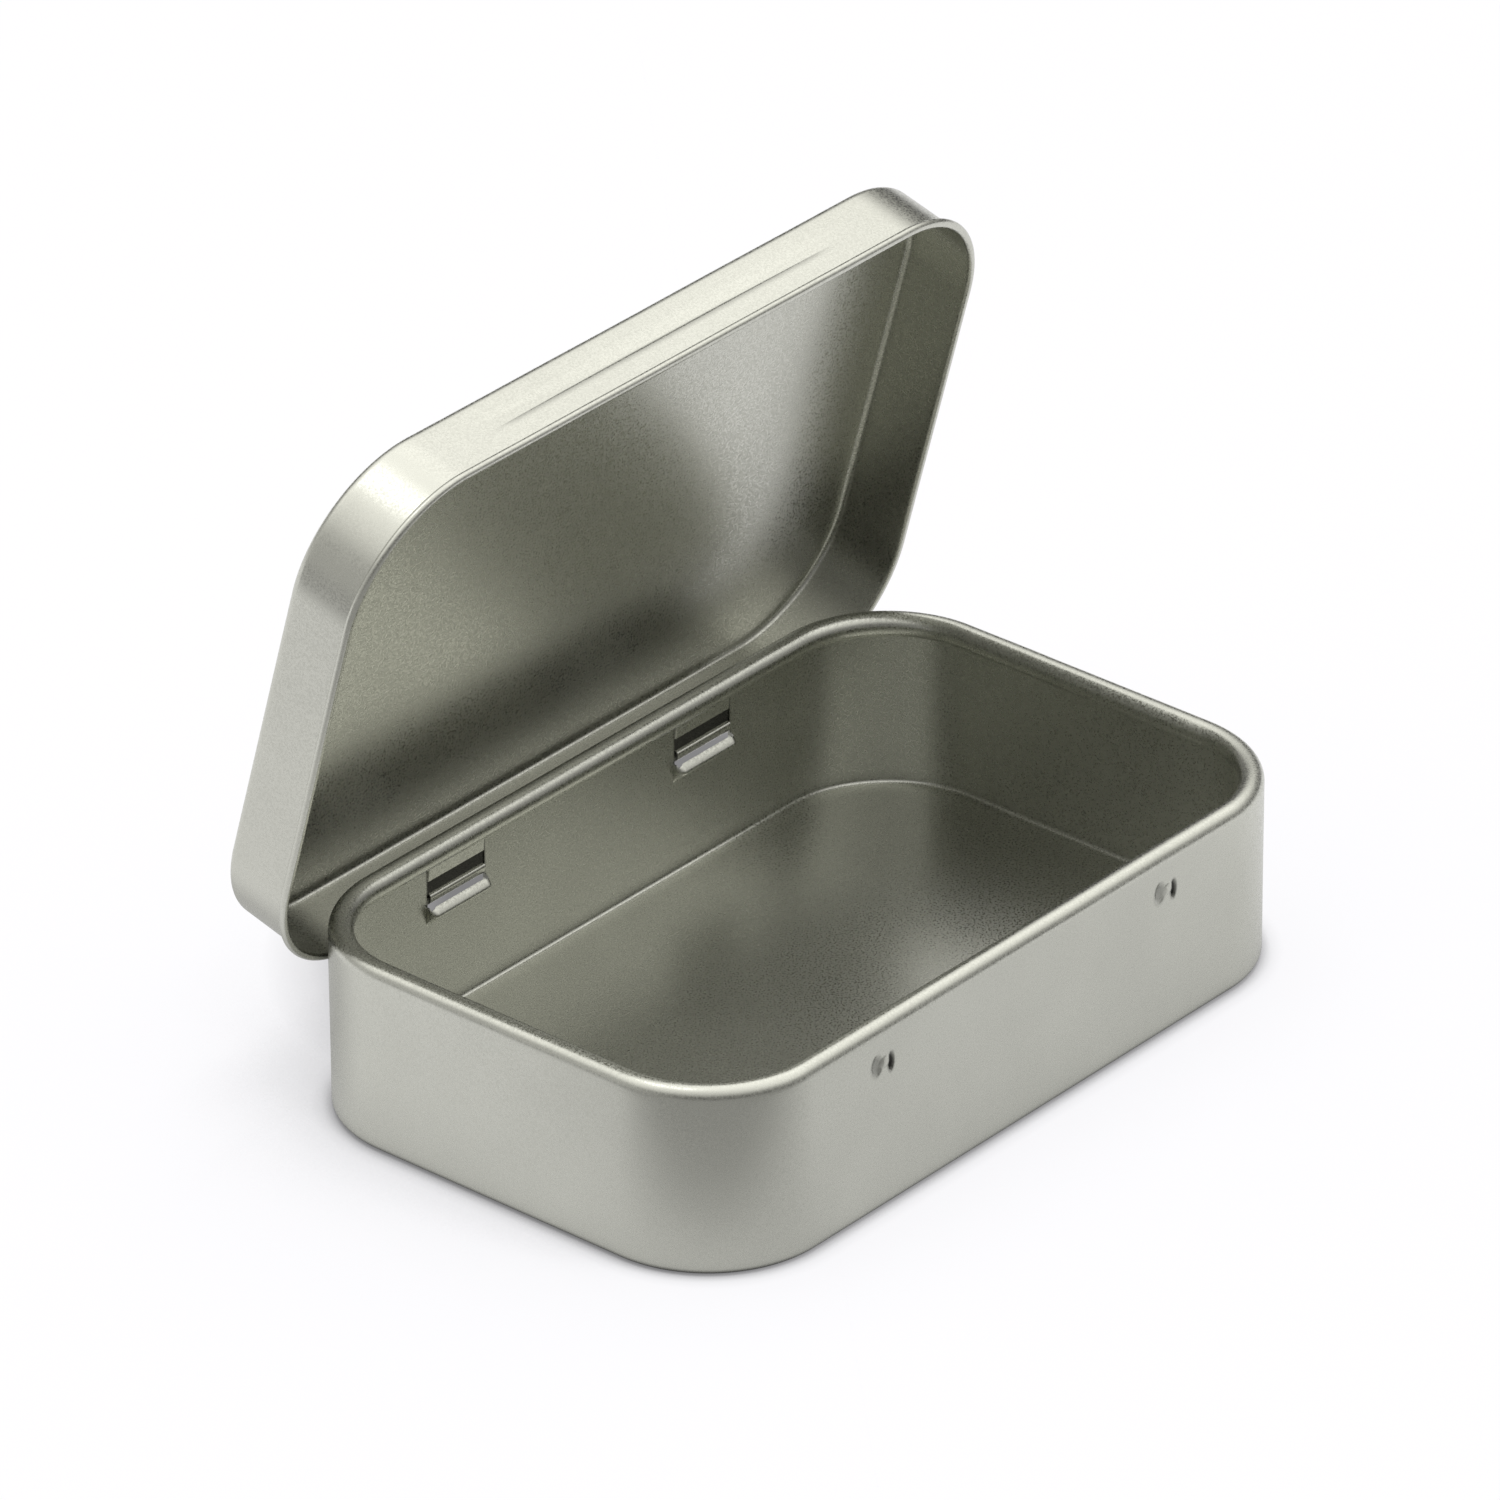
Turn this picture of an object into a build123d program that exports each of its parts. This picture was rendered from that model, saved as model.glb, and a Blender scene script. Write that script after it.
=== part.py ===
"""Hinged slip-lid mint tin: a drawn tinplate tray and a drawn lid hooked into its back wall.

Frame: X runs along the long side, +Y towards the hinge, +Z up.
The origin is the middle of the tray's underside. The lid stands open, as it does at rest.
"""
from build123d import *
import os

os.makedirs("parts", exist_ok=True)

# Tray, all lengths in millimetres
length = 95.0
depth = 60.5
height = 21.5
corner_radius = 14.0
sheet = 0.25
foot_radius = 0.8
rim_roll_radius = 1.35
rim_roll_angle = 310.0

# Lid
lid_clearance = 0.42
lid_seat_gap = 0.30
lid_height = 8.7
lid_corner_tightening = 0.1
lid_edge_radius = 1.0
lid_roll_radius = 0.47
lid_roll_angle = 280.0

# Hinge: two hooks on the lid swing in two slots of the tray's back wall, over round pockets pressed inwards.
# The axis lies just below the middle of the shut lid's edge roll, near the outer face of the wall.
axis_below_roll = 0.07
axis_tuck = 0.12
hinge_spacing = 39.0
open_angle = 74.7
hook_width = 8.5
hook_drop = 0.65
hook_reach = 0.70
hook_bend_radius = 0.45
hook_roll_radius = 0.36
hook_roll_angle = 250.0
hook_relief = 0.5
hook_side_gap = 0.2
slot_rise = 2.45
slot_reach = 0.53
pocket_radius = 1.4
pocket_reach = 1.15
pocket_drop = 1.9
pocket_end_round = 0.8

# Shallow raised panel in the tray wall above each slot
panel_height = 1.75
panel_depth = 0.15

# Latch: nibs on the tray's front wall, and a long pressed bead in the lid's front skirt
nib_spacing = 45.2
nib_below_rim = 4.4
nib_radius = 0.75
nib_rise = 0.18
pit_offset = 0.95
pit_radius = 0.6
pit_depth = 0.12
bead_length = 53.4
bead_depth_share = 1 / 3
bead_below_top = 4.55
bead_lower_side = 0.3
bead_upper_side = 1.5

# How far cutters pass a face, and joined forms sink into one
overrun = 0.1

# Places that follow from the sizes above
lid_offset = lid_clearance + sheet
lid_length = length + 2 * lid_offset
lid_depth = depth + 2 * lid_offset
lid_corner_radius = corner_radius - lid_corner_tightening
lid_top = height + lid_seat_gap + sheet
lid_free_edge = lid_top - lid_height
lid_roll_height = lid_free_edge + lid_roll_radius
axis_y = depth / 2 + lid_roll_radius - axis_tuck
axis_z = lid_roll_height - axis_below_roll
hook_roll_middle = hook_roll_radius - sheet / 2
hook_roll_height = hook_drop - hook_roll_middle
hollow_width = hook_width + 2 * hook_side_gap
pocket_width = hollow_width + 2 * sheet
back_face = depth / 2
back_inner_face = back_face - sheet
slot_top = axis_z + slot_rise
slot_edge = back_inner_face - slot_reach
pocket_y = back_inner_face - pocket_reach + pocket_radius
pocket_z = axis_z - pocket_drop
hinge_places = [-hinge_spacing / 2, hinge_spacing / 2]
nib_height = height - nib_below_rim
bead_depth = bead_depth_share * lid_clearance
bead_crease = lid_top - bead_below_top


def loop_path(long_side, short_side, radius):
    """Rounded rectangle on the ground plane, starting at the middle of the front side."""
    x = long_side / 2
    y = short_side / 2
    with BuildLine() as loop:
        Line((0, -y), (x - radius, -y))
        CenterArc((x - radius, radius - y), radius, 270, 90)
        Line((x, radius - y), (x, y - radius))
        CenterArc((x - radius, y - radius), radius, 0, 90)
        Line((x - radius, y), (radius - x, y))
        CenterArc((radius - x, y - radius), radius, 90, 90)
        Line((-x, y - radius), (-x, radius - y))
        CenterArc((radius - x, radius - y), radius, 180, 90)
        Line((radius - x, -y), (0, -y))
    return loop.wire()


def pocket_form(radius, width, reach_y, end_round):
    """Round bulge towards -Y along the back wall, with rounded ends, from the plane y = reach_y."""
    with BuildPart() as form:
        with BuildSketch(Plane.YZ.offset(-width / 2)):
            with Locations((pocket_y, pocket_z)):
                Circle(radius)
                Rectangle(3 * radius, 2 * radius, align=(Align.MIN, Align.CENTER))
        extrude(amount=width)
        fillet(form.edges().filter_by(GeomType.CIRCLE), radius=end_round)
        with Locations((0, reach_y, pocket_z)):
            Box(width, 4 * radius, 2 * radius, align=(Align.CENTER, Align.MAX, Align.CENTER),
                mode=Mode.INTERSECT)
    return form.part


def nib_form():
    """Low round dome that bulges towards -Y from the plane y = 0, with a flat back behind it."""
    dome_radius = (nib_radius**2 + nib_rise**2) / (2 * nib_rise)
    with BuildPart() as form:
        with Locations((0, dome_radius - nib_rise, 0)):
            Sphere(dome_radius)
        with Locations((0, overrun, 0)):
            Box(2 * nib_radius, nib_rise + overrun, 2 * nib_radius,
                align=(Align.CENTER, Align.MAX, Align.CENTER), mode=Mode.INTERSECT)
    return form.part


def bead_form():
    """Long lens that bulges towards +Y from the plane y = 0: a short step below, a gentle slope above."""
    half = bead_length / 2
    low = bead_crease - bead_lower_side
    high = bead_crease + bead_upper_side
    with BuildPart() as form:
        with BuildSketch(Plane.YZ.offset(-half)):
            with BuildLine():
                Polyline((-overrun, low), (0, low), (bead_depth, bead_crease), (0, high), (-overrun, high),
                         close=True)
            make_face()
        extrude(amount=bead_length)
        with BuildSketch(Plane.XY.offset(low)):
            with BuildLine():
                ThreePointArc((-half, 0), (0, bead_depth), (half, 0))
                Polyline((half, 0), (half, -overrun), (-half, -overrun), (-half, 0))
            make_face()
        extrude(amount=high - low, mode=Mode.INTERSECT)
    return form.part


# Tray: one drawn sheet, with its rim rolled inwards
pocket = pocket_form(pocket_radius, pocket_width, back_inner_face + overrun, pocket_end_round)
hollow = pocket_form(pocket_radius - sheet, hollow_width, back_face + overrun, pocket_end_round - sheet)
nib = nib_form()

with BuildPart() as base_tray:
    with BuildSketch(Plane.YZ):
        wall_y = -depth / 2 + sheet / 2
        rim_y = -depth / 2 + rim_roll_radius
        rim_z = height - rim_roll_radius
        foot_y = -depth / 2 + foot_radius
        with BuildLine():
            CenterArc((foot_y, foot_radius), foot_radius - sheet / 2, 180, 90)
            Line((wall_y, foot_radius), (wall_y, rim_z))
            CenterArc((rim_y, rim_z), rim_roll_radius - sheet / 2, 180, -rim_roll_angle)
        trace(line_width=sheet)
    sweep(path=loop_path(length, depth, corner_radius))
    with BuildSketch(Plane.XY):
        RectangleRounded(length - 2 * foot_radius, depth - 2 * foot_radius, corner_radius - foot_radius)
    extrude(amount=sheet)
    with Locations(*[(x, 0, 0) for x in hinge_places]):
        add(pocket)
        add(hollow, mode=Mode.SUBTRACT)
    with Locations(*[(x, slot_edge, slot_top) for x in hinge_places]):
        Box(hollow_width, back_face - slot_edge + overrun, slot_top - pocket_z,
            align=(Align.CENTER, Align.MIN, Align.MAX), mode=Mode.SUBTRACT)
    with Locations(*[(x, back_inner_face - panel_depth, slot_top) for x in hinge_places]):
        Box(hollow_width, sheet, panel_height, align=(Align.CENTER, Align.MIN, Align.MIN))
    with Locations(*[(x, back_face - panel_depth, slot_top) for x in hinge_places]):
        Box(hollow_width, sheet, panel_height,
            align=(Align.CENTER, Align.MIN, Align.MIN), mode=Mode.SUBTRACT)
    with Locations((-nib_spacing / 2, -depth / 2, nib_height), (nib_spacing / 2, -depth / 2, nib_height)):
        add(nib)
        with Locations((0, sheet, 0)):
            add(nib, mode=Mode.SUBTRACT)
        with Locations((-pit_offset, pit_depth - pit_radius, 0), (pit_offset, pit_depth - pit_radius, 0)):
            Sphere(pit_radius, mode=Mode.SUBTRACT)
base_tray.part.label = "base_tray"
export_step(base_tray.part, "parts/base_tray.step")

# Lid: drawn shut over the tray, with a small outward roll at its free edge, then swung open
bead = bead_form()

with BuildPart() as shut_lid:
    with BuildSketch(Plane.YZ):
        edge_y = -lid_depth / 2 + lid_edge_radius
        edge_z = lid_top - lid_edge_radius
        skirt_y = -lid_depth / 2 + sheet / 2
        roll_y = -lid_depth / 2 + sheet - lid_roll_radius
        with BuildLine():
            CenterArc((edge_y, edge_z), lid_edge_radius - sheet / 2, 90, 90)
            Line((skirt_y, edge_z), (skirt_y, lid_roll_height))
            CenterArc((roll_y, lid_roll_height), lid_roll_radius - sheet / 2, 0, -lid_roll_angle)
        trace(line_width=sheet)
    sweep(path=loop_path(lid_length, lid_depth, lid_corner_radius))
    with BuildSketch(Plane.XY.offset(lid_top - sheet)):
        RectangleRounded(lid_length - 2 * lid_edge_radius, lid_depth - 2 * lid_edge_radius,
                         lid_corner_radius - lid_edge_radius)
    extrude(amount=sheet)
    with Locations((0, -lid_depth / 2 + sheet, 0)):
        add(bead)
    with Locations((0, -lid_depth / 2, 0)):
        add(bead, mode=Mode.SUBTRACT)
    relief_width = hook_width + 2 * hook_relief
    with Locations(*[(x, lid_depth / 2 - sheet - overrun, lid_roll_height) for x in hinge_places]):
        Box(relief_width, 2 * lid_roll_radius + 2 * overrun, lid_roll_radius + overrun,
            align=(Align.CENTER, Align.MIN, Align.MAX), mode=Mode.SUBTRACT)
    with Locations(*[(x, lid_depth / 2, lid_roll_height) for x in hinge_places]):
        Box(relief_width, 2 * lid_roll_radius, lid_roll_radius + overrun,
            align=(Align.CENTER, Align.MIN, Align.MIN), mode=Mode.SUBTRACT)
    for x in hinge_places:
        with BuildSketch(Plane.YZ.offset(x - hook_width / 2)):
            stem_y = lid_depth / 2 - sheet / 2
            bend_y = stem_y - hook_bend_radius
            bend_z = axis_z - hook_drop + hook_bend_radius
            roll_y = axis_y - hook_reach
            with BuildLine():
                Line((stem_y, lid_roll_height), (stem_y, bend_z))
                CenterArc((bend_y, bend_z), hook_bend_radius, 0, -90)
                Line((bend_y, axis_z - hook_drop), (roll_y, axis_z - hook_drop))
                CenterArc((roll_y, axis_z - hook_roll_height), hook_roll_middle, 270, -hook_roll_angle)
            trace(line_width=sheet)
        extrude(amount=hook_width)
hinge_axis = Axis((0, axis_y, axis_z), (1, 0, 0))
lid = shut_lid.part.rotate(hinge_axis, -open_angle)
lid.label = "lid"
export_step(lid, "parts/lid.step")
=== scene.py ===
"""Open pocket tin of bare tinplate: a drawn tray and its hinged lid, in metres, in the CAD frame."""
from math import acos, cos, radians, sin, sqrt, tan

import bmesh
import bpy
from mathutils import Matrix, Vector, noise


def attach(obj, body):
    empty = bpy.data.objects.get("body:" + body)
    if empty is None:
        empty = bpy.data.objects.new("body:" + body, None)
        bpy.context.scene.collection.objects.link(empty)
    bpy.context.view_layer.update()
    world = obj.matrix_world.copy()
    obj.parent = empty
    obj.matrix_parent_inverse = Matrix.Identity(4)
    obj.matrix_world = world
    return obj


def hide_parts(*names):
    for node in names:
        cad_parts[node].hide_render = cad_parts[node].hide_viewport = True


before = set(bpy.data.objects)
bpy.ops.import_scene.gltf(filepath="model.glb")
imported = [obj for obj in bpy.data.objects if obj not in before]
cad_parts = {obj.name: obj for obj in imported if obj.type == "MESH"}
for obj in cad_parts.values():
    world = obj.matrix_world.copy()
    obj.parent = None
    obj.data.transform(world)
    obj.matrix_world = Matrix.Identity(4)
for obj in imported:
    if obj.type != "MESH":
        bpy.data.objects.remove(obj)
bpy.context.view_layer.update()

MM = 0.001
OUT, IN = 0, 1

# Tray, in millimetres, as in the CAD model
LENGTH, DEPTH, HEIGHT, CORNER = 95.0, 60.5, 21.5, 14.0
SHEET = 0.25
FOOT = 0.8
RIM_ROLL, RIM_TURN = 1.35, 310

# Lid
LID_CLEARANCE, LID_SEAT, LID_HEIGHT, LID_CORNER = 0.42, 0.30, 8.7, 13.9
LID_EDGE, LID_ROLL, LID_TURN = 1.0, 0.47, 280
LID_OUT = LID_CLEARANCE + SHEET
LID_TOP = HEIGHT + LID_SEAT + SHEET
LID_ROLL_Z = LID_TOP - LID_HEIGHT + LID_ROLL

# Hinge axis and the lid's hooks
AXIS_OUT, AXIS_DROP, OPEN_ANGLE = 0.35, 0.07, 74.7
AXIS_Y = DEPTH / 2 + AXIS_OUT
AXIS_Z = LID_ROLL_Z - AXIS_DROP
HINGE_X = 19.5
HINGES = (-HINGE_X, HINGE_X)
HOOK_WIDTH, HOOK_DROP, HOOK_REACH, HOOK_BEND, HOOK_ROLL, HOOK_TURN = 8.5, 0.65, 0.70, 0.45, 0.36, 250
HOOK_ROOT = 0.3
NOTCH_GAP = 0.5
NOTCH = HOOK_WIDTH / 2 + NOTCH_GAP

# Slots in the back wall: the lip below is the pocket's upper edge, and drops a little towards its ends
SLOT_GAP, SLOT_RISE, SLOT_REACH = 0.2, 2.45, 0.51
SLOT_HALF = HOOK_WIDTH / 2 + SLOT_GAP
SLOT_TOP = AXIS_Z + SLOT_RISE
SLOT_EDGE = DEPTH / 2 - SHEET - SLOT_REACH
LIP_BELOW_AXIS, LIP_DROP, LIP_DROP_REACH = 0.574, 0.25, 0.8
LIP_Z = AXIS_Z - LIP_BELOW_AXIS

# Pockets: radii of the broad upper side and of the nose, the angles where they meet, of the lip and of the
# straight foot in degrees, and how far the ends are rounded
POCKET_ARC, POCKET_NOSE, POCKET_TURN, POCKET_LIP, POCKET_SLOPE, POCKET_END = 2.6, 0.4, 38, 57, 50, 0.9

# Panels above the slots, pressed inwards: depth at the slot, what the lean adds up to the top, and the bevel
PANEL_HEIGHT, PANEL_DEPTH, PANEL_LEAN, PANEL_RAMP = 1.75, 0.08, 0.16, 0.2
PANEL_TOP = SLOT_TOP + PANEL_HEIGHT

# Latch nibs, and the creases beside each: place, height, half width, half height, depth
NIB_X, NIB_Z, NIB_RADIUS, NIB_RISE = 22.6, 17.1, 0.75, 0.18
CREASES = ((-1.25, 0.0, 0.9, 1.3, 0.26), (0.95, -0.35, 0.45, 1.1, 0.42))

# Long bead in the lid's front skirt
BEAD_HALF, BEAD_DEPTH, BEAD_DROP, BEAD_LOW, BEAD_HIGH = 26.7, 0.14, 4.55, 0.3, 1.5
BEAD_Z = LID_TOP - BEAD_DROP

# Unevenness of the drawn sheet: width of a ripple, its height, and where in the noise it lies
TRAY_FLOOR_WAVE, TRAY_WALL_WAVE, TRAY_RIM_WAVE = (22.0, 0.06, 3.0), (16.0, 0.05, 7.0), (5.0, 0.025, 1.0)
LID_PANEL_WAVE, LID_WALL_WAVE, LID_ROLL_WAVE = (24.0, 0.10, 5.0), (16.0, 0.04, 11.0), (5.0, 0.02, 2.0)
TRAY_FLOOR_FADE, LID_PANEL_FADE = 4, 3
CORNER_BLEND = 3.0

# Fineness of the meshes
CORNER_STEPS, END_STEPS, FLAT_STEPS = 28, 22, 24
POCKET_FOOT_STEPS, POCKET_ARC_STEPS = 6, 14
NEAR = 1e-6


def steps(lo, hi, count):
    """Evenly spaced values from lo to hi, both ends included."""
    return [lo + (hi - lo) * k / count for k in range(count + 1)]


def merged(*groups):
    """One rising list of all the values, without near doubles."""
    out = []
    for v in sorted(v for g in groups for v in g):
        if not out or v - out[-1] > 1e-4:
            out.append(v)
    return out


def stations(length, depth, radius, columns, rows):
    """Points round a rounded rectangle, anticlockwise from above: x, y, outward normal, side, place along it."""
    x, y = length / 2 - radius, depth / 2 - radius
    ring = []

    def corner(cx, cy, start):
        for k in range(1, CORNER_STEPS):
            a = radians(start + 90 * k / CORNER_STEPS)
            ring.append((cx + radius * cos(a), cy + radius * sin(a), cos(a), sin(a), "corner", 0.0))

    ring += [(c, -depth / 2, 0, -1, "front", c) for c in columns]
    corner(x, -y, -90)
    ring += [(length / 2, c, 1, 0, "right", c) for c in rows]
    corner(x, y, 0)
    ring += [(c, depth / 2, 0, 1, "back", c) for c in reversed(columns)]
    corner(-x, y, 90)
    ring += [(-length / 2, c, -1, 0, "left", c) for c in reversed(rows)]
    corner(-x, -y, 180)
    return ring


def wave(p, size, height, seed):
    """Gentle unevenness of pressed sheet at a point, in mm."""
    return height * noise.noise(Vector((p[0] / size + seed, p[1] / size - seed, p[2] / size)))


def sheet_mesh(ring, rows, shift, in_hole):
    """Closed sheet swept round a ring. A row is (kind, share from the middle, out offset, out z, in offset, in z).

    Rows of kind flat close in on the middle line, which runs between the centres of the two ends.
    """
    n, m = len(ring), len(rows)
    medial_half = (LENGTH - DEPTH) / 2
    verts = []
    for x, y, nx, ny, side, c in ring:
        for kind, t, oo, zo, oi, zi in rows:
            for face, o, z in ((OUT, oo, zo), (IN, oi, zi)):
                o += shift(face, kind, side, c, z, x, y)
                px, py = x + nx * o, y + ny * o
                if kind == "flat":
                    mx = max(-medial_half, min(medial_half, px))
                    px, py = mx + (px - mx) * t, py * t
                    z += shift(face, "dish", side, t, z, px, py)
                verts.append((px * MM, py * MM, z * MM))

    def vid(face, i, j):
        return ((i % n) * m + j) * 2 + face

    holes = set()
    for i in range(n):
        a, b = ring[i], ring[(i + 1) % n]
        if a[4] == b[4] == "back":
            for j in range(m - 1):
                if in_hole((a[5] + b[5]) / 2, rows[j], rows[j + 1]):
                    holes.add((i, j))
    faces = []
    for i in range(n):
        for j in range(m - 1):
            if (i, j) in holes:
                continue
            faces.append((vid(OUT, i, j), vid(OUT, i + 1, j), vid(OUT, i + 1, j + 1), vid(OUT, i, j + 1)))
            faces.append((vid(IN, i, j + 1), vid(IN, i + 1, j + 1), vid(IN, i + 1, j), vid(IN, i, j)))
        if (i, m - 2) not in holes:
            faces.append((vid(OUT, i, m - 1), vid(OUT, i + 1, m - 1), vid(IN, i + 1, m - 1), vid(IN, i, m - 1)))
    for i, j in holes:
        around = {(i - 1, j): ((i, j), (i, j + 1)), (i + 1, j): ((i + 1, j), (i + 1, j + 1)),
                  (i, j - 1): ((i, j), (i + 1, j)), (i, j + 1): ((i, j + 1), (i + 1, j + 1))}
        for neighbour, (p, q) in around.items():
            if neighbour not in holes and neighbour[1] < m - 1:
                faces.append((vid(OUT, *p), vid(OUT, *q), vid(IN, *q), vid(IN, *p)))
    return verts, faces


def strip(middle, width, x0):
    """Closed ribbon of the sheet's thickness along a line of (y, z) points, from x0 to x0 + width."""
    left, right = [], []
    for k, (y, z) in enumerate(middle):
        y0, z0 = middle[max(k - 1, 0)]
        y1, z1 = middle[min(k + 1, len(middle) - 1)]
        d = Vector((y1 - y0, z1 - z0)).normalized() * SHEET / 2
        left.append((y - d.y, z + d.x))
        right.append((y + d.y, z - d.x))
    loop = left + right[::-1]
    n = len(loop)
    verts = [(x * MM, y * MM, z * MM) for x in (x0, x0 + width) for y, z in loop]
    faces = [(k, (k + 1) % n, n + (k + 1) % n, n + k) for k in range(n)]
    for base in (0, n):
        for k in range(len(middle) - 1):
            faces.append(tuple(base + q for q in (k, k + 1, n - 2 - k, n - 1 - k)))
    return verts, faces


def piece(name, parts, body, node, material, turn=None):
    """One mesh object from several (verts, faces) parts, riding on a body in place of its CAD node."""
    verts, faces = [], []
    for v, f in parts:
        start = len(verts)
        verts += v
        faces += [tuple(start + k for k in q) for q in f]
    mesh = bpy.data.meshes.new(name)
    mesh.from_pydata(verts, [], faces)
    bm = bmesh.new()
    bm.from_mesh(mesh)
    bmesh.ops.remove_doubles(bm, verts=bm.verts, dist=1e-7)
    bmesh.ops.dissolve_degenerate(bm, edges=bm.edges, dist=1e-8)
    if turn is not None:
        bmesh.ops.transform(bm, matrix=turn, verts=bm.verts)
    bmesh.ops.recalc_face_normals(bm, faces=bm.faces)
    bm.to_mesh(mesh)
    bm.free()
    for poly in mesh.polygons:
        poly.use_smooth = True
    mesh.set_sharp_from_angle(angle=radians(40))
    mesh.materials.append(material)
    obj = bpy.data.objects.new(name, mesh)
    bpy.context.scene.collection.objects.link(obj)
    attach(obj, body)
    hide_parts(node)
    return obj


# Tray ---------------------------------------------------------------------------------------------

def pocket_line(face):
    """Points (height, depth from the wall) up a hinge pocket: foot, nose, broad upper side, lip at the slot."""
    thin, wall = (0.0, DEPTH / 2 - SHEET) if face == IN else (SHEET, DEPTH / 2)
    arc_y = SLOT_EDGE + POCKET_ARC * cos(radians(POCKET_LIP))
    arc_z = LIP_Z - POCKET_ARC * sin(radians(POCKET_LIP))
    turn, slope = radians(POCKET_TURN), radians(-POCKET_SLOPE)
    nose_y = arc_y - (POCKET_ARC - POCKET_NOSE) * cos(turn)
    nose_z = arc_z + (POCKET_ARC - POCKET_NOSE) * sin(turn)
    start_y = nose_y - (POCKET_NOSE - thin) * cos(slope)
    start_z = nose_z + (POCKET_NOSE - thin) * sin(slope)
    foot_z = start_z - (wall - start_y) / tan(-slope)
    count = POCKET_FOOT_STEPS
    line = [(foot_z + (start_z - foot_z) * k / count, (wall - start_y) * k / count) for k in range(count)]
    last = acos((arc_y - SLOT_EDGE) / (POCKET_ARC - thin))
    for middle_y, middle_z, radius, begin, end, count in (
            (nose_y, nose_z, POCKET_NOSE - thin, slope, turn, POCKET_ARC_STEPS),
            (arc_y, arc_z, POCKET_ARC - thin, turn, last, POCKET_ARC_STEPS - 1)):
        for k in range(POCKET_ARC_STEPS):
            a = begin + (end - begin) * k / count
            line.append((middle_z + radius * sin(a), wall - middle_y + radius * cos(a)))
    return line


POCKET_LINES = [pocket_line(face) for face in (OUT, IN)]
POCKET_TOP = POCKET_LINES[IN][-1][0]


def pocket_shift(face, u, z):
    """Depth of a hinge pocket at distance u from its middle, with rounded ends, cut by the slot."""
    line, half = POCKET_LINES[face], SLOT_HALF + (SHEET if face == IN else 0.0)
    if u > half or z < line[0][0] or z > line[-1][0] + NEAR:
        return 0.0
    k = min(sum(z > point[0] for point in line[1:]), len(line) - 2)
    (z0, d0), (z1, d1) = line[k], line[k + 1]
    inset = min(1.0, (half - u) / POCKET_END)
    return -(d0 + (d1 - d0) * min(1.0, (z - z0) / (z1 - z0))) * sqrt(1 - (1 - inset) ** 2)


def panel_shift(u, z):
    """Depth of the bevelled panel above a slot at distance u from its middle."""
    if not SLOT_TOP - NEAR <= z <= PANEL_TOP + NEAR:
        return 0.0
    ramp = min((SLOT_HALF - u) / PANEL_RAMP, (PANEL_TOP - z) / PANEL_RAMP, 1.0)
    lean = PANEL_LEAN * (z - SLOT_TOP) / (PANEL_TOP - SLOT_TOP)
    return -(PANEL_DEPTH + lean) * max(0.0, ramp)


def nib_shift(u, w):
    """Low dome with a crease at either side, u along the wall and w up it."""
    r2 = u * u + w * w
    dome = (NIB_RADIUS**2 + NIB_RISE**2) / (2 * NIB_RISE)
    rise = sqrt(dome * dome - r2) - (dome - NIB_RISE) if r2 < NIB_RADIUS**2 else 0.0
    for middle, up, half, tall, deep in CREASES:
        rise -= deep * max(0.0, 1 - ((u - middle) / half) ** 2 - ((w - up) / tall) ** 2)
    return rise


def tray_shift(face, kind, side, c, z, x, y):
    """Offset of the tray's sheet, outwards from its wall; for a dish, upwards, with c the share from the middle."""
    if kind == "dish":
        return wave((x, y, 0), *TRAY_FLOOR_WAVE) * min(1.0, TRAY_FLOOR_FADE * (1 - c)) if face == IN else 0.0
    if kind in ("flat", "foot"):
        return 0.0
    o = wave((x, y, z), *TRAY_WALL_WAVE)
    if kind == "roll":
        return o + wave((x, y, z), *TRAY_RIM_WAVE)
    if side == "back":
        u = abs(abs(c) - HINGE_X)
        o += pocket_shift(face, u, z)
        o += panel_shift(u, z)
    elif side == "front":
        o += nib_shift(c - (NIB_X if c > 0 else -NIB_X), z - NIB_Z)
    return o * min(1.0, (z - FOOT) / CORNER_BLEND) if side == "corner" else o


def tray_hole(c, low, high):
    """The slots: from the pocket's lip up to the panel."""
    inset = SLOT_HALF - abs(abs(c) - HINGE_X)
    lip = POCKET_TOP - LIP_DROP * max(0.0, 1 - inset / LIP_DROP_REACH)
    return low[0] == high[0] == "wall" and inset > 0 and lip - NEAR < low[5] and high[5] < SLOT_TOP + NEAR


def arc_rows(kind, co, cz, r_out, r_in, start, turn, count):
    """Rows of a bend: its centre, radii of the two faces, first angle and turn in degrees."""
    rows = []
    for k in range(count + 1):
        a = radians(start + turn * k / count)
        rows.append((kind, 1.0, co + r_out * cos(a), cz + r_out * sin(a), co + r_in * cos(a), cz + r_in * sin(a)))
    return rows


# Columns are close together where a pocket's ends and a nib's creases are
END_OUTSIDE, END_INSIDE, END_COLUMNS = 0.35, 1.3, 33
POCKET_MIDDLE, MIDDLE_COLUMNS = 3.5, 8
NIB_LEFT, NIB_RIGHT, NIB_COLUMNS = 2.1, 1.7, 44
TRAY_COLUMNS = 46
flat_x = LENGTH / 2 - CORNER
flat_y = DEPTH / 2 - CORNER
pocket_columns = merged(*[
    merged(steps(h - SLOT_HALF - END_OUTSIDE, h - SLOT_HALF + END_INSIDE, END_COLUMNS),
           steps(h + SLOT_HALF - END_INSIDE, h + SLOT_HALF + END_OUTSIDE, END_COLUMNS),
           [h - SLOT_HALF, h + SLOT_HALF], steps(h - POCKET_MIDDLE, h + POCKET_MIDDLE, MIDDLE_COLUMNS))
    for h in HINGES])
nib_columns = merged(*[steps(h - NIB_LEFT, h + NIB_RIGHT, NIB_COLUMNS) for h in (-NIB_X, NIB_X)])
tray_columns = merged(steps(-flat_x, flat_x, TRAY_COLUMNS), pocket_columns, nib_columns)
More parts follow.
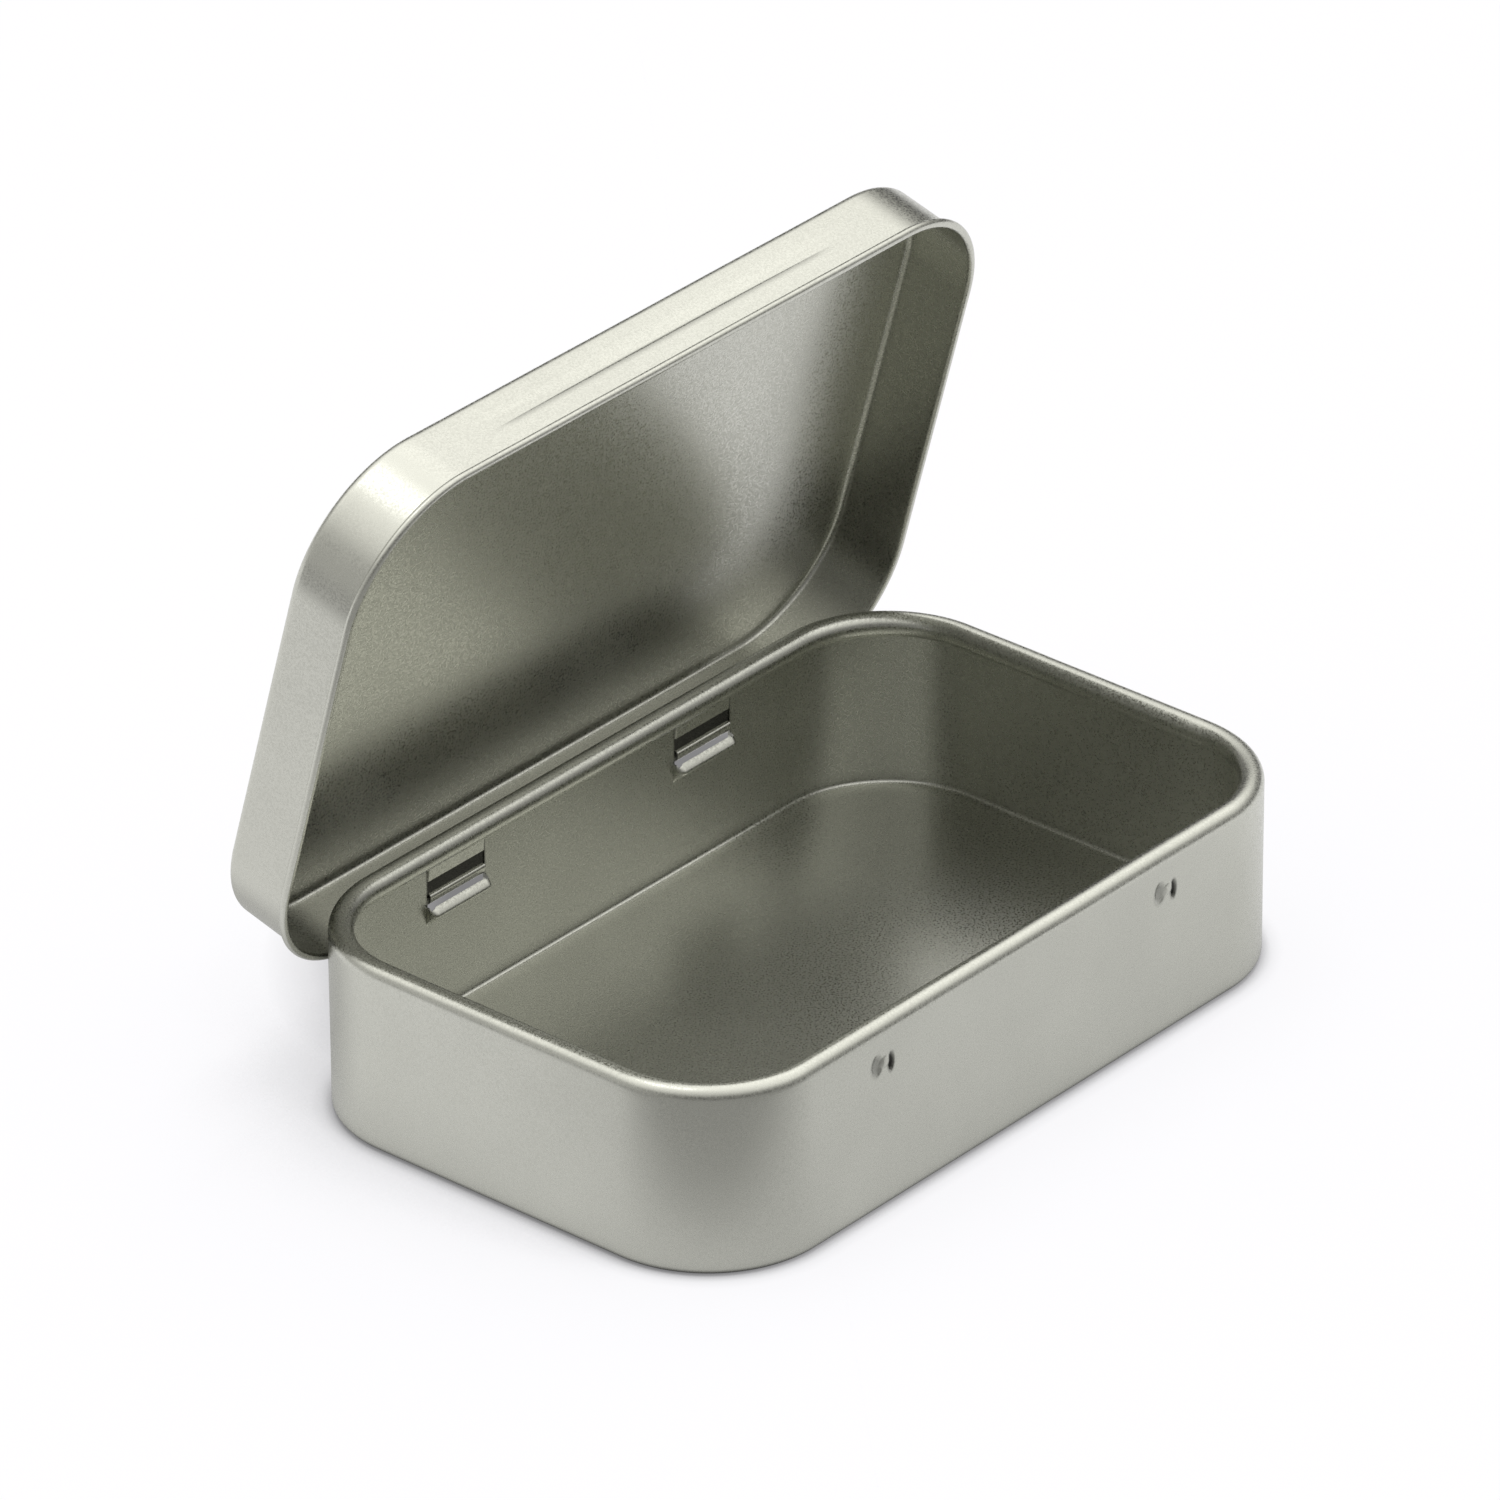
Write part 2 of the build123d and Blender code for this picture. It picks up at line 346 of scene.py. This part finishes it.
tray_ring = stations(LENGTH, DEPTH, CORNER, tray_columns, steps(-flat_y, flat_y, END_STEPS))

# Rows from the middle of the floor, up the wall and round the rim, close together at a pocket and a nib
NIB_SPAN, NIB_ROWS = 1.4, 30
ROW_GAP, BELOW_POCKET, BELOW_SLOT_TOP, ABOVE_NIB = 0.03, 0.1, 0.9, 1.8
rim_z = HEIGHT - RIM_ROLL
pocket_rows = [(out[0], inner[0]) for out, inner in zip(POCKET_LINES[OUT], POCKET_LINES[IN])]
low_z = steps(FOOT, min(pocket_rows[0]) - BELOW_POCKET, 9)[1:]
panel_z = [SLOT_TOP, PANEL_TOP - PANEL_RAMP, PANEL_TOP]
nib_z = [z for z in steps(NIB_Z - NIB_SPAN, NIB_Z + NIB_SPAN, NIB_ROWS)
         if min(abs(z - edge) for edge in panel_z) > ROW_GAP]
high_z = merged(steps(POCKET_TOP + ROW_GAP, SLOT_TOP - BELOW_SLOT_TOP, 3), panel_z, nib_z,
                steps(NIB_Z + ABOVE_NIB, rim_z, 2)[:-1])
floor_rows = [("flat", t, -FOOT, 0.0, -FOOT, SHEET) for t in steps(0.0, 1.0, FLAT_STEPS)[:-1]]
foot_rows = arc_rows("foot", -FOOT, FOOT, FOOT, FOOT - SHEET, -90, 90, 8)
wall_rows = [("wall", 1.0, 0.0, zo, -SHEET, zi)
             for zo, zi in [(z, z) for z in low_z] + pocket_rows + [(z, z) for z in high_z]]
roll_rows = arc_rows("roll", -RIM_ROLL, rim_z, RIM_ROLL, RIM_ROLL - SHEET, 0, RIM_TURN, 40)
tray_parts = sheet_mesh(tray_ring, floor_rows + foot_rows + wall_rows + roll_rows, tray_shift, tray_hole)


# Lid, built shut and then swung open --------------------------------------------------------------

def bead_shift(c, z):
    """Depth of the long pressed bead: a short step below its crease, a gentle slope above."""
    if abs(c) > BEAD_HALF:
        return 0.0
    over = z - BEAD_Z
    side = 1 + over / BEAD_LOW if over < 0 else 1 - over / BEAD_HIGH
    lens = 1 - (c / BEAD_HALF) ** 2
    return -BEAD_DEPTH * max(0.0, min(side, lens))


def lid_shift(face, kind, side, c, z, x, y):
    """Offset of the lid's sheet, outwards from its skirt; for a dish, upwards, with c the share from the middle."""
    if kind == "dish":
        return wave((x, y, 0), *LID_PANEL_WAVE) * min(1.0, LID_PANEL_FADE * (1 - c))
    if kind == "flat":
        return 0.0
    o = wave((x, y, z), *LID_WALL_WAVE)
    if kind == "roll":
        o += wave((x, y, z), *LID_ROLL_WAVE)
    if side == "front" and kind == "wall":
        o += bead_shift(c, z)
    return o


def lid_hole(c, low, high):
    """The notches in the skirt's roll beside the hooks."""
    return low[0] == high[0] == "roll" and abs(abs(c) - HINGE_X) < NOTCH


lid_length, lid_depth = LENGTH + 2 * LID_OUT, DEPTH + 2 * LID_OUT
lid_flat_x = lid_length / 2 - LID_CORNER
lid_flat_y = lid_depth / 2 - LID_CORNER
notch_columns = [h + e for h in HINGES for e in (-NOTCH, NOTCH)]
lid_ring = stations(lid_length, lid_depth, LID_CORNER, merged(steps(-lid_flat_x, lid_flat_x, 60), notch_columns),
                    steps(-lid_flat_y, lid_flat_y, END_STEPS))

# Rows from the middle of the panel, down the skirt and round its roll
panel_rows = [("flat", t, -LID_EDGE, LID_TOP, -LID_EDGE, LID_TOP - SHEET) for t in steps(0.0, 1.0, FLAT_STEPS)[:-1]]
edge_rows = arc_rows("wall", -LID_EDGE, LID_TOP - LID_EDGE, LID_EDGE, LID_EDGE - SHEET, 90, -90, 10)
skirt_z = merged(steps(LID_ROLL_Z, BEAD_Z - BEAD_LOW, 5), steps(BEAD_Z - BEAD_LOW, BEAD_Z, 4),
                 steps(BEAD_Z, BEAD_Z + BEAD_HIGH, 6), steps(BEAD_Z + BEAD_HIGH, LID_TOP - LID_EDGE, 3))
skirt_rows = [("wall", 1.0, 0.0, z, -SHEET, z) for z in reversed(skirt_z[1:-1])]
core = LID_ROLL - SHEET
lid_roll_rows = [("roll", 1.0, core - core * cos(a), LID_ROLL_Z - core * sin(a),
                  core - LID_ROLL * cos(a), LID_ROLL_Z - LID_ROLL * sin(a))
                 for a in [radians(d) for d in steps(0, LID_TURN, 28)]]
lid_parts = [sheet_mesh(lid_ring, panel_rows + edge_rows + skirt_rows + lid_roll_rows, lid_shift, lid_hole)]


def bend(y, z, radius, start, turn, count):
    """Points (y, z) on an arc, with the first angle and the turn in degrees."""
    return [(y + radius * cos(radians(start + turn * k / count)), z + radius * sin(radians(start + turn * k / count)))
            for k in range(count + 1)]


stem_y = lid_depth / 2 - SHEET / 2
hook_y = AXIS_Y - HOOK_REACH
hook_z = AXIS_Z - HOOK_DROP
roll_mid = HOOK_ROLL - SHEET / 2
hook_line = ([(stem_y, LID_ROLL_Z + HOOK_ROOT), (stem_y, LID_ROLL_Z)]
             + bend(stem_y - HOOK_BEND, hook_z + HOOK_BEND, HOOK_BEND, 0, -90, 8)
             + bend(hook_y, hook_z + roll_mid, roll_mid, 270, -HOOK_TURN, 20))
lid_parts += [strip(hook_line, HOOK_WIDTH, h - HOOK_WIDTH / 2) for h in HINGES]
pivot = Vector((0, AXIS_Y * MM, AXIS_Z * MM))
swing = Matrix.Translation(pivot) @ Matrix.Rotation(radians(-OPEN_ANGLE), 4, "X") @ Matrix.Translation(-pivot)


# Materials ----------------------------------------------------------------------------------------

class Nodes:
    """Short way to write a node tree."""

    def __init__(self, tree):
        self.tree = tree
        tree.nodes.clear()

    def add(self, kind, **inputs):
        node = self.tree.nodes.new(kind)
        for key, value in inputs.items():
            key = key.replace("_", " ")
            if key in node.inputs.keys():
                self.put(node.inputs[key], value)
            else:
                setattr(node, key.replace(" ", "_"), value)
        return node

    def put(self, socket, value):
        if isinstance(value, bpy.types.NodeSocket):
            self.tree.links.new(value, socket)
        else:
            socket.default_value = value

    def math(self, operation, *values):
        return self.operate("ShaderNodeMath", operation, values).outputs[0]

    def vector(self, operation, *values):
        """Vector that comes from one or two others."""
        return self.operate("ShaderNodeVectorMath", operation, values).outputs["Vector"]

    def measure(self, operation, *values):
        """Plain value that comes from one or two vectors."""
        return self.operate("ShaderNodeVectorMath", operation, values).outputs["Value"]

    def operate(self, kind, operation, values):
        node = self.tree.nodes.new(kind)
        node.operation = operation
        for k, value in enumerate(values):
            self.put(node.inputs[k], value)
        return node

    def scaled(self, vector, factor):
        node = self.add("ShaderNodeVectorMath", operation="SCALE", Scale=factor)
        self.put(node.inputs[0], vector)
        return node.outputs["Vector"]

    def product(self, first, *others):
        for other in others:
            first = self.math("MULTIPLY", first, other)
        return first

    def noise(self, vector, scale, detail, rough=0.5):
        node = self.add("ShaderNodeTexNoise", Vector=vector, Scale=scale, Detail=detail, Roughness=rough)
        return node.outputs["Fac"]

    def ramp(self, value, *stops):
        node = self.tree.nodes.new("ShaderNodeValToRGB")
        self.put(node.inputs[0], value)
        elements = node.color_ramp.elements
        while len(elements) < len(stops):
            elements.new(0.5)
        for element, (place, colour) in zip(elements, stops):
            element.position = place
            element.color = (*colour, 1.0) if isinstance(colour, tuple) else (colour, colour, colour, 1.0)
        return node.outputs[0]


# Painted shade lines round the panels and slots, in millimetres: how far each reaches either side of its edge, how
# far the side ones run below the lip, how deep in the wall the band lies, and the share of light that they take
SIDE_LINE, TOP_LINE, LINE_BELOW, BACK_BAND, LINE_DARK = (-0.05, 0.08), (-0.08, 0.05), 0.3, 0.6, 0.5
LINE_SOFT, RUN_SOFT, BAND_SOFT = 0.14, 0.15, 0.1
# Painted shade at the roots of the hooks, where the tray's wall shades them: past the slot's end, behind the wall,
# about the axis, and the share that it takes
ROOT_PAST, ROOT_BEHIND, ROOT_HEIGHT, ROOT_DARK = 2.4, (0.2, 2.5), (-1.0, 3.0), 0.88
ROOT_PAST_SOFT, ROOT_HEIGHT_SOFT = 1.0, 0.5
# Painted shade only on faces that point up, for the hooks' roots, and only within a band of the front wall, for the
# nibs
FACING_UP, FRONT_BAND = 0.3, 0.5
# Painted shade in ovals over the creases beside a nib: middle, half width and height, level; in millimetres from the
# nib
NIB_SHADE_OVALS = (((-1.3, -0.1), (0.95, 1.3), 0.55), ((0.92, -0.4), (0.6, 1.2), 0.10))
SHADE_OVAL_CORE, SHADE_OVAL_RIM = 0.28, 0.60
# Noise of the tinplate, in features per metre, and how much each kind counts
GRAIN, RELIEF, CLOUD, PATCH = 4200.0, 1500.0, 90.0, 28.0
GRAIN_TONE, CLOUD_TONE = 0.45, 0.55
GRAIN_RELIEF, FINE_RELIEF = 0.6, 0.4
GRAIN_ROUGH, PATCH_ROUGH = ((0.35, 0.18), (0.65, 0.40)), 0.05
CREASE_REACH, CREASE_SHADE = 0.0025, ((0.2, 0.15), (0.62, 1.0))
RELIEF_DEPTH = 0.0002


def shade_oval(n, across, up, middle, half, level):
    """Soft oval of painted shade, a darker level on a face, 1 outside it; all lengths in millimetres."""
    flat = n.add("ShaderNodeCombineXYZ", X=across, Y=up, Z=0.0).outputs[0]
    scaled = n.vector("MULTIPLY", n.vector("SUBTRACT", flat, (*middle, 0.0)), (0.5 / half[0], 0.5 / half[1], 0.0))
    return n.ramp(n.measure("LENGTH", scaled), (SHADE_OVAL_CORE, level), (SHADE_OVAL_RIM, 1.0))


def between(n, value, low, high, soft):
    """1 where a value lies between two limits, falling to 0 over a soft edge outside them."""
    rise = n.math("DIVIDE", n.math("SUBTRACT", value, low - soft), soft)
    drop = n.math("DIVIDE", n.math("SUBTRACT", high + soft, value), soft)
    node = n.tree.nodes.new("ShaderNodeClamp")
    n.put(node.inputs["Value"], n.math("MINIMUM", rise, drop))
    return node.outputs[0]


def painted_edge_shade(n, place, normal):
    """Painted shade in the metal's colour: dark lines round the panels and slots, ovals over the creases beside the
    nibs, and the roots of the hooks, on the inside of the lid's skirt, which faces up in the open lid."""
    x, y, z = n.add("ShaderNodeSeparateXYZ", Vector=n.scaled(place, 1 / MM)).outputs
    off = n.math("ABSOLUTE", n.math("SUBTRACT", n.math("ABSOLUTE", x), HINGE_X))
    wall = between(n, y, DEPTH / 2 - BACK_BAND, DEPTH / 2, BAND_SOFT)
    sides = n.product(between(n, off, SLOT_HALF + SIDE_LINE[0], SLOT_HALF + SIDE_LINE[1], LINE_SOFT),
                      between(n, z, LIP_Z - LINE_BELOW, PANEL_TOP, RUN_SOFT))
    top = n.product(between(n, off, 0.0, SLOT_HALF, BAND_SOFT),
                    between(n, z, PANEL_TOP + TOP_LINE[0], PANEL_TOP + TOP_LINE[1], LINE_SOFT))
    line = n.product(n.math("MAXIMUM", sides, top), wall, LINE_DARK)
    skirt = n.product(between(n, off, 0.0, SLOT_HALF + ROOT_PAST, ROOT_PAST_SOFT),
                      between(n, y, DEPTH / 2 + ROOT_BEHIND[0], DEPTH / 2 + ROOT_BEHIND[1], BAND_SOFT))
    tall = between(n, z, AXIS_Z + ROOT_HEIGHT[0], AXIS_Z + ROOT_HEIGHT[1], ROOT_HEIGHT_SOFT)
    root = n.product(skirt, n.product(tall, ROOT_DARK))
    inside = n.math("GREATER_THAN", n.add("ShaderNodeSeparateXYZ", Vector=normal).outputs["Z"], FACING_UP)
    level = n.math("SUBTRACT", 1.0, n.math("MAXIMUM", line, n.product(root, inside)))
    u = n.math("SUBTRACT", x, n.product(n.math("SIGN", x), NIB_X))
    w = n.math("SUBTRACT", z, NIB_Z)
    nib_shade = n.product(*[shade_oval(n, u, w, *oval) for oval in NIB_SHADE_OVALS])
    front = n.math("LESS_THAN", y, -DEPTH / 2 + FRONT_BAND)
    nib_shade = n.math("ADD", 1.0, n.product(front, n.math("SUBTRACT", nib_shade, 1.0)))
    return n.product(level, nib_shade)


def tinplate(name, colour, shade, relief_strength):
    """Satin tinplate: fine plating grain, faint cloudy patches, and painted shade at edges and in creases."""
    material = bpy.data.materials.new(name)
    material.use_nodes = True
    n = Nodes(material.node_tree)
    coordinates = n.add("ShaderNodeTexCoord").outputs
    place = coordinates["Object"]
    grain = n.noise(place, GRAIN, 2.0, 0.6)
    cloud = n.noise(place, CLOUD, 4.0, 0.55)
    patch = n.noise(place, PATCH, 2.0, 0.5)
    tone = n.math("ADD", n.product(grain, GRAIN_TONE), n.product(cloud, CLOUD_TONE))
    dark = tuple(v * (1 - shade) for v in colour)
    light = tuple(min(1.0, v * (1 + shade)) for v in colour)
    tint = n.ramp(tone, (0.3, dark), (0.7, light))
    # Painted shade in the colour: darker in creases and narrow gaps, as ambient occlusion finds them, and at the
    # marked edges
    crease = n.add("ShaderNodeAmbientOcclusion", Distance=CREASE_REACH, samples=6).outputs["AO"]
    painted_shade = n.product(n.ramp(crease, *CREASE_SHADE), painted_edge_shade(n, place, coordinates["Normal"]))
    rough = n.math("ADD", n.ramp(grain, *GRAIN_ROUGH), n.product(patch, PATCH_ROUGH))
    relief = n.math("ADD", n.product(grain, GRAIN_RELIEF), n.product(n.noise(place, RELIEF, 3.0), FINE_RELIEF))
    bump = n.add("ShaderNodeBump", Height=relief, Strength=relief_strength, Distance=RELIEF_DEPTH)
    shader = n.add("ShaderNodeBsdfPrincipled", Metallic=1.0, Base_Color=n.vector("MULTIPLY", tint, painted_shade),
                   Roughness=rough, Normal=bump.outputs[0])
    out = n.add("ShaderNodeOutputMaterial")
    n.put(out.inputs["Surface"], shader.outputs[0])
    return material


tray_metal = tinplate("tray_tinplate", (0.556, 0.561, 0.505), 0.05, 0.055)
lid_metal = tinplate("lid_tinplate", (0.563, 0.566, 0.510), 0.04, 0.035)

piece("tin_tray", [tray_parts], "tray", "base_tray", tray_metal)
piece("tin_lid", lid_parts, "lid", "lid", lid_metal, swing)


# Floor --------------------------------------------------------------------------------------------

# Level headings, as the photograph sees them
LEFT, FRONT, RIGHT = (-0.65, 0.76, 0.0), (-0.76, -0.65, 0.0), (0.65, -0.76, 0.0)
FLOOR_HALF, FLOOR_Z = 3.0, -0.00005
# How bright the metal sees the floor: from right to left, from the tin to the front, and past its right end
ACROSS_LIGHT = ((0.1, 0.80), (0.9, 1.0))
FRONT_LIGHT = ((0.2, 1.0), (0.28, 0.66), (0.37, 0.08), (0.6, 0.10))
END_LIGHT = ((0.45, 0.0), (0.75, 0.3))
# The metal also sees a dimmer patch behind the tin's left corner
DIM_CORNER, DIM_CORNER_LIGHT = (-0.030, 0.052, 0.0), ((0.15, 0.45), (0.32, 1.0))
# The dark line where the tin meets the floor, and the soft shade on the side away from the light
TOUCH_REACH, TOUCH_SHADE = 0.0025, ((0.40, 0.35), (0.75, 0.90), (1.0, 1.0))
SIDE_REACH, SIDE_SHADE, SIDE_NORMAL = 0.04, ((0.3, 0.64), (0.53, 1.0)), (0.50, -0.60, 0.62)
# The deeper soft shade behind the tin: middle, half widths, and what it takes away from the middle outwards
BEHIND, BEHIND_HALF = (0.018, 0.030, 0.0), (0.055, 0.036)
BEHIND_SHADE = ((0.0, 0.80), (0.58, 0.76), (0.78, 0.45), (0.9, 0.15), (1.0, 0.0))
GLOW_COLOUR, PAINT_COLOUR = (1.0, 0.995, 1.02, 1.0), (0.95, 0.95, 0.96)
SEEN_GLOW, MIRRORED_GLOW = 0.85, 0.65


def toward(n, vector, heading):
    """How far a vector points along a heading."""
    return n.measure("DOT_PRODUCT", vector, heading)


def mirrored_light(n, place):
    """Brightness of the floor in the metal's reflections."""
    across = n.math("ADD", 0.5, n.product(toward(n, place, LEFT), 20.0))
    fall = n.product(toward(n, place, FRONT), 5.0)
    end = n.product(n.add("ShaderNodeSeparateXYZ", Vector=place).outputs["X"], 10.0)
    corner = n.product(n.measure("DISTANCE", place, DIM_CORNER), 10.0)
    return n.product(n.ramp(across, *ACROSS_LIGHT), n.ramp(fall, *FRONT_LIGHT),
                     n.math("ADD", 1.0, n.ramp(end, *END_LIGHT)), n.ramp(corner, *DIM_CORNER_LIGHT))


def floor_shade(n):
    """Brightness left by the dark line round the foot and the soft shade beside the tin."""
    touch = n.add("ShaderNodeAmbientOcclusion", Distance=TOUCH_REACH, samples=8)
    side = n.add("ShaderNodeAmbientOcclusion", Distance=SIDE_REACH, samples=8)
    x, y, z = SIDE_NORMAL
    n.put(side.inputs["Normal"], n.add("ShaderNodeCombineXYZ", X=x, Y=y, Z=z).outputs[0])
    return n.product(n.ramp(touch.outputs["AO"], *TOUCH_SHADE), n.ramp(side.outputs["AO"], *SIDE_SHADE))


def shade_behind(n, place):
    """What the shade behind the tin takes away."""
    scale = (1 / BEHIND_HALF[0], 1 / BEHIND_HALF[1], 0.0)
    reach = n.measure("LENGTH", n.vector("MULTIPLY", n.vector("SUBTRACT", place, BEHIND), scale))
    return n.ramp(reach, *BEHIND_SHADE)


def floor_material():
    """White to the camera but for its shades, and a soft uneven glow to the metal."""
    material = bpy.data.materials.new("floor_paint")
    material.use_nodes = True
    n = Nodes(material.node_tree)
    path = n.add("ShaderNodeLightPath")
    seen = path.outputs["Is Camera Ray"]
    mirrored = n.math("MAXIMUM", path.outputs["Is Glossy Ray"], path.outputs["Is Transmission Ray"])
    place = n.add("ShaderNodeTexCoord").outputs["Object"]
    lit = mirrored_light(n, place)
    clear = n.math("SUBTRACT", 1.0, n.product(seen, shade_behind(n, place)))
    level = n.math("ADD", seen, n.product(mirrored, lit))
    glow = n.add("ShaderNodeEmission", Color=GLOW_COLOUR, Strength=n.product(floor_shade(n), clear, level))
    paint = n.add("ShaderNodeBsdfDiffuse", Color=n.scaled(PAINT_COLOUR, clear))
    share = n.math("ADD", n.product(seen, SEEN_GLOW), n.product(mirrored, MIRRORED_GLOW))
    mix = n.add("ShaderNodeMixShader", Fac=share)
    n.put(mix.inputs[1], paint.outputs[0])
    n.put(mix.inputs[2], glow.outputs[0])
    n.put(n.add("ShaderNodeOutputMaterial").inputs["Surface"], mix.outputs[0])
    return material


floor_mesh = bpy.data.meshes.new("studio_floor")
floor_corners = [(x * FLOOR_HALF, y * FLOOR_HALF, FLOOR_Z) for x, y in ((-1, -1), (1, -1), (1, 1), (-1, 1))]
floor_mesh.from_pydata(floor_corners, [], [(0, 1, 2, 3)])
floor = bpy.data.objects.new("studio_floor", floor_mesh)
bpy.context.scene.collection.objects.link(floor)
floor_mesh.materials.append(floor_material())


# World: bright overhead with a soft key at the right, dim round the horizon but for glows at three sides ---
SKY = ((0.0, 0.02), (0.30, 0.04), (0.42, 0.14), (0.6, 0.82), (0.8, 1.26), (1.0, 1.35))
FRONT_DIM = 0.6
LEFT_GLOW, RIGHT_GLOW, FRONT_GLOW = 0.60, 0.37, 0.18
RIGHT_LOW = ((0.0, 0.35), (0.3, 1.0))
KEY, KEY_SHARPNESS, KEY_GLOW = (0.66, 0.22, 0.72), 12.0, 0.50
SKY_COLOUR, SKY_STRENGTH = (1.0, 0.99, 0.97, 1.0), 1.06

world = bpy.data.worlds.new("studio")
bpy.context.scene.world = world
world.use_nodes = True
n = Nodes(world.node_tree)
direction = n.add("ShaderNodeTexCoord").outputs["Generated"]
height = n.add("ShaderNodeSeparateXYZ", Vector=direction).outputs["Z"]
left, right, front = [n.math("MAXIMUM", toward(n, direction, h), 0.0) for h in (LEFT, RIGHT, FRONT)]
sky = n.product(n.ramp(height, *SKY), n.math("SUBTRACT", 1.0, n.product(front, FRONT_DIM)))
right_share = n.product(n.ramp(height, *RIGHT_LOW), RIGHT_GLOW)
for share, side in ((LEFT_GLOW, left), (right_share, right), (FRONT_GLOW, front)):
    sky = n.math("ADD", sky, n.product(side, side, share))
key = n.math("POWER", n.math("MAXIMUM", toward(n, direction, KEY), 0.0), KEY_SHARPNESS)
sky = n.math("ADD", sky, n.product(key, KEY_GLOW))
backdrop = n.add("ShaderNodeBackground", Color=SKY_COLOUR, Strength=n.product(sky, SKY_STRENGTH))
n.put(n.add("ShaderNodeOutputWorld").inputs["Surface"], backdrop.outputs[0])

# Soft lamp overhead, a little behind and to the left of the tin, aimed at its middle
LAMP_PLACE, LAMP_AIM, LAMP_SIZE, LAMP_POWER = (-0.12, 0.18, 0.75), (0, 0, 0.02), 0.25, 0.3
lamp = bpy.data.lights.new("softbox", "AREA")
lamp.shape = "RECTANGLE"
lamp.size = LAMP_SIZE
lamp.size_y = LAMP_SIZE
lamp.energy = LAMP_POWER
lamp_object = bpy.data.objects.new("softbox", lamp)
lamp_object.location = LAMP_PLACE
lamp_object.rotation_euler = (Vector(LAMP_AIM) - lamp_object.location).to_track_quat("-Z", "Y").to_euler()
bpy.context.scene.collection.objects.link(lamp_object)

# Camera, at the photograph's angle -----------------------------------------------------------------
AZIMUTH, ELEVATION, ROLL = radians(-49.445), radians(29.401), radians(-0.344)
DISTANCE, AIM, AIM_RIGHT, AIM_UP = 1.418, (0, 0, 0.015), -0.005180, 0.015047
LENS, SENSOR_WIDTH, CLIP_END = 331.17, 36.0, 20.0
back = Vector((sin(AZIMUTH) * cos(ELEVATION), -cos(AZIMUTH) * cos(ELEVATION), sin(ELEVATION)))
right = (-back).cross(Vector((0, 0, 1))).normalized()
up = right.cross(-back)
right, up = right * cos(ROLL) + up * sin(ROLL), up * cos(ROLL) - right * sin(ROLL)
place = Vector(AIM) + right * AIM_RIGHT + up * AIM_UP + back * DISTANCE
camera = bpy.data.cameras.new("camera")
camera.lens = LENS
camera.sensor_width = SENSOR_WIDTH
camera.clip_end = CLIP_END
camera_object = bpy.data.objects.new("camera", camera)
camera_object.matrix_world = Matrix((
    (right.x, up.x, back.x, place.x),
    (right.y, up.y, back.y, place.y),
    (right.z, up.z, back.z, place.z),
    (0, 0, 0, 1)))
bpy.context.scene.collection.objects.link(camera_object)
bpy.context.scene.camera = camera_object
bpy.context.scene.view_settings.view_transform = "Standard"
